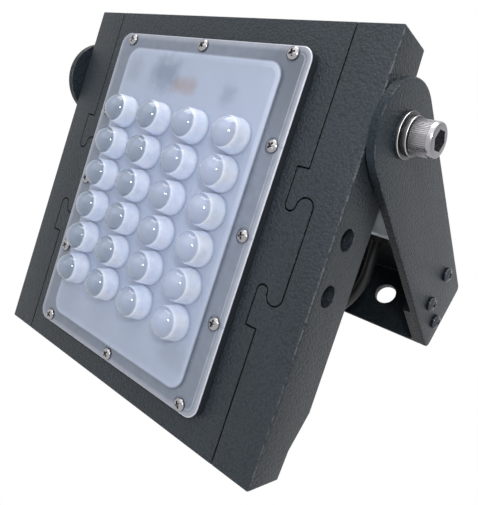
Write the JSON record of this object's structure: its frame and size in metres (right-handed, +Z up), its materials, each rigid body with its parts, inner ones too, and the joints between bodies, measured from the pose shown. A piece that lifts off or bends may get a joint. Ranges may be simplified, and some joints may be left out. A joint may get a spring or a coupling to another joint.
{
  "type": "infrared illuminator",
  "caption": "Square infrared floodlight with dome lenses, interlocked side rails, rear fins and a driver housing, tilting in a flat-armed bracket with a bolt-down base plate.",
  "frame": {"origin": "centre of the base plate on its wall face, midway between its two mounting holes", "axes": "+X along the pivots to the lamp's left as it faces out, +Y into the wall, +Z up"},
  "size_m": [0.3014, 0.2005, 0.2457],
  "materials": {
    "cast_coat": "dark grey powder coat with a fine leather texture",
    "bracket_coat": "dark grey powder coat with a fine leather texture",
    "lens_plastic": "milky translucent, clear gloss domes",
    "stainless_steel": "bright stainless",
    "zinc_steel": "dark zinc",
    "nickel_brass": "nickel plated",
    "black_rubber": "matt",
    "black_nylon": "matt",
    "board_aluminium": "white solder mask",
    "emitter_resin": "clear resin",
    "component_black": "satin",
    "cable_jacket": "satin jacket"
  },
  "bodies": {
    "bracket": {"base_plate": "bracket_coat", "right_arm": "bracket_coat", "left_arm": "bracket_coat", "arm_screws": "zinc_steel"},
    "head": {"head_casting": "cast_coat", "right_side_rail": "cast_coat", "left_side_rail": "cast_coat", "rail_screws": "zinc_steel", "lens_plate": "lens_plastic", "lens_plate_seal": "black_rubber", "lens_plate_screws": "stainless_steel", "led_board": "board_aluminium", "infrared_emitters": "emitter_resin", "board_parts": "component_black", "board_screws": "stainless_steel", "pivot_bolts": "stainless_steel", "pivot_flat_washers": "stainless_steel", "pivot_spring_washers": "stainless_steel", "pivot_spacers": "black_nylon", "driver_housing": "cast_coat", "driver_lid_seal": "black_rubber", "driver_lid": "cast_coat", "driver_lid_screws": "stainless_steel", "housing_screws": "stainless_steel", "driver_unit": "component_black", "gland_body": "nickel_brass", "gland_nut": "nickel_brass", "gland_seal": "black_rubber", "supply_lead": "cable_jacket", "lead_connector": "component_black"}
  },
  "joints": [
    {"name": "tilt", "type": "hinge", "parent": "bracket", "child": "head", "pos_m": [0, -0.164, 0.024], "axis": [1, 0, 0], "range_deg": [-85, 15]}
  ]
}
